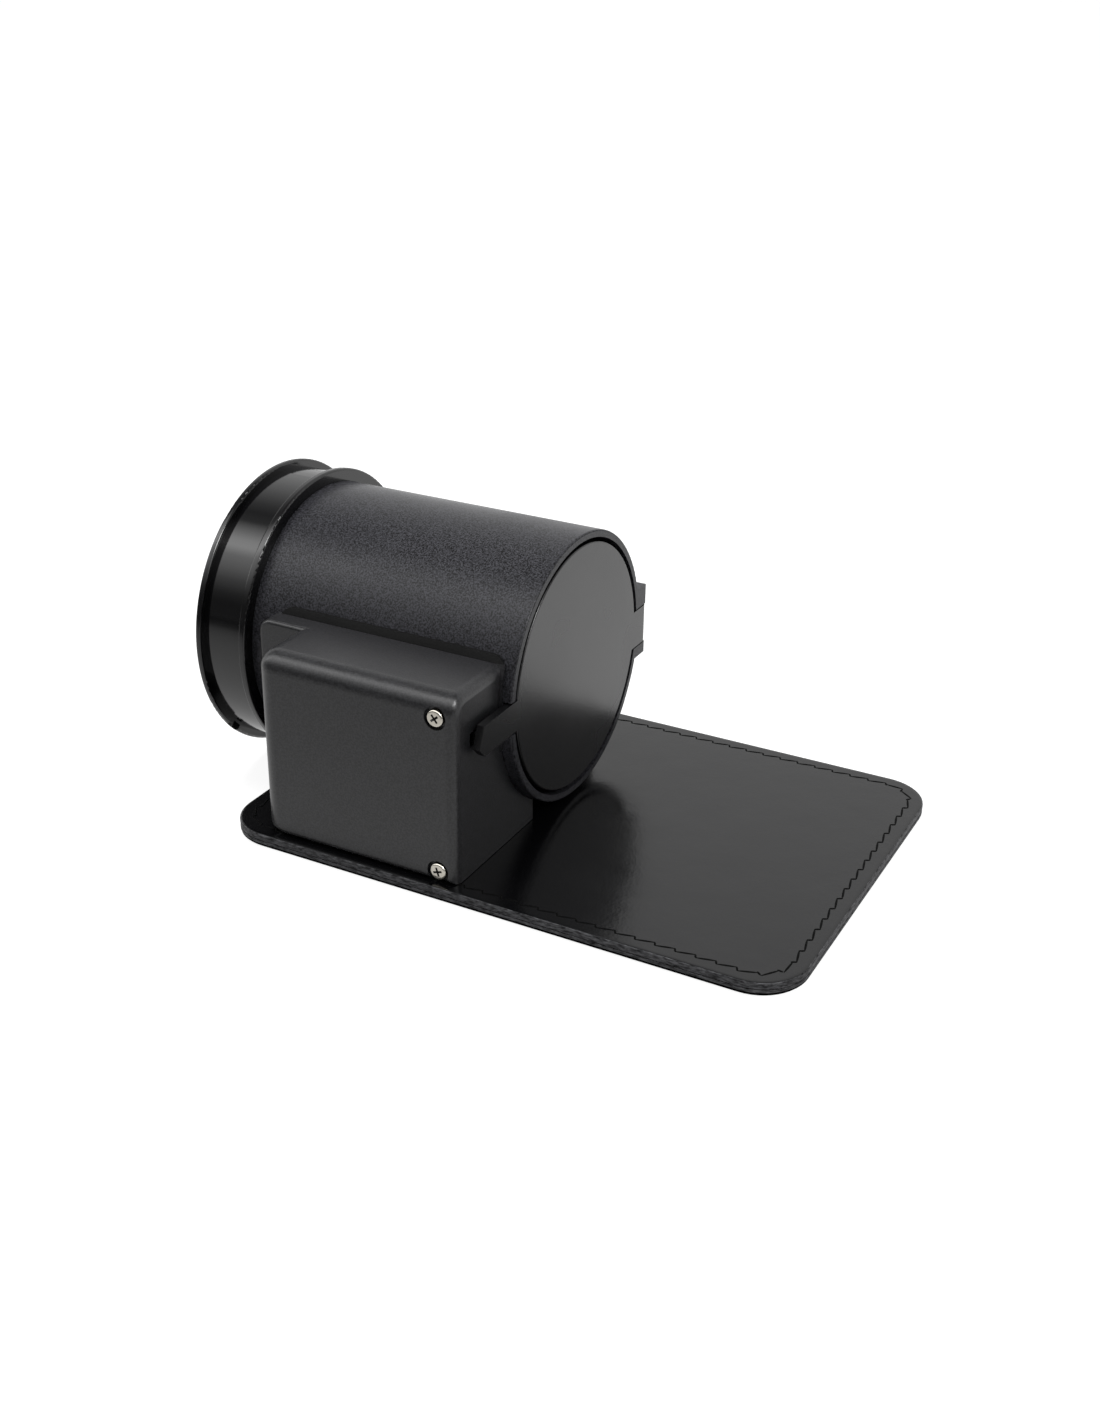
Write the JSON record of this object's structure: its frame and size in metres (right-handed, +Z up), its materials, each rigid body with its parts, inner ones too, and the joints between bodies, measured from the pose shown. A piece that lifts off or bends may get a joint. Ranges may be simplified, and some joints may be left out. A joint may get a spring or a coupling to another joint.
{
  "type": "automatic dog ball launcher",
  "caption": "Dog ball launcher: a spring-loaded tube with a hinged lid released by a solenoid latch, with a control box on its side and a stitched leather base.",
  "frame": {"origin": "middle of the base's flat underside", "axes": "+X along the base towards the lid, -Y towards the control box, +Z up"},
  "size_m": [0.1842, 0.113, 0.084],
  "materials": {
    "black_leather": "smooth finished black leather, glossy, stitched",
    "black_abs": "moulded black plastic with a fine grain",
    "lid_abs": "moulded black plastic, satin",
    "gloss_cap": "moulded black plastic, glossy",
    "pusher_nylon": "moulded black nylon",
    "nickel_screw": "nickel-plated steel",
    "steel": "zinc-plated steel",
    "spring_steel": "drawn spring wire",
    "copper_winding": "enamelled copper winding",
    "green_board": "green solder mask",
    "shield_can": "tinned sheet",
    "capacitor_sleeve": "dark shrink sleeve",
    "reed_glass": "sealed glass capsule",
    "antenna_jacket": "insulated wire",
    "cell_wrap": "plain grey cell wrap"
  },
  "bodies": {
    "housing": {"base_bottom_leather": "black_leather", "base_top_leather": "black_leather", "launch_tube": "black_abs", "control_box_cover": "black_abs", "rear_cap": "gloss_cap", "battery_holder": "pusher_nylon", "cover_screws": "nickel_screw", "base_stiffener": "steel", "base_screws": "steel", "lid_hinge_pin": "steel", "solenoid_screws": "steel", "board_screws": "steel", "solenoid_frame": "steel", "ejector_spring": "spring_steel", "latch_return_spring": "spring_steel", "solenoid_coil": "copper_winding", "circuit_board": "green_board", "receiver_module": "shield_can", "battery_contacts": "shield_can", "driver_capacitor": "capacitor_sleeve", "reed_switch": "reed_glass", "antenna_wire": "antenna_jacket", "battery_cell": "cell_wrap"},
    "lid": {"lid": "lid_abs"},
    "pusher": {"pusher_plate": "pusher_nylon"},
    "latch": {"latch_bolt": "steel"}
  },
  "joints": [
    {"name": "lid_hinge", "type": "hinge", "parent": "housing", "child": "lid", "pos_m": [-0.0079, 0.0457, 0.0403], "axis": [0, 0, 1], "range_deg": [0, 180]},
    {"name": "pusher_slide", "type": "slide", "parent": "housing", "child": "pusher", "axis": [1, 0, 0], "range_m": [-0.014, 0], "stiffness_N_per_m": 800, "deforming": ["ejector_spring"]},
    {"name": "latch_slide", "type": "slide", "parent": "housing", "child": "latch", "axis": [0, 0, 1], "range_m": [0, 0.0038], "deforming": ["latch_return_spring"]}
  ]
}
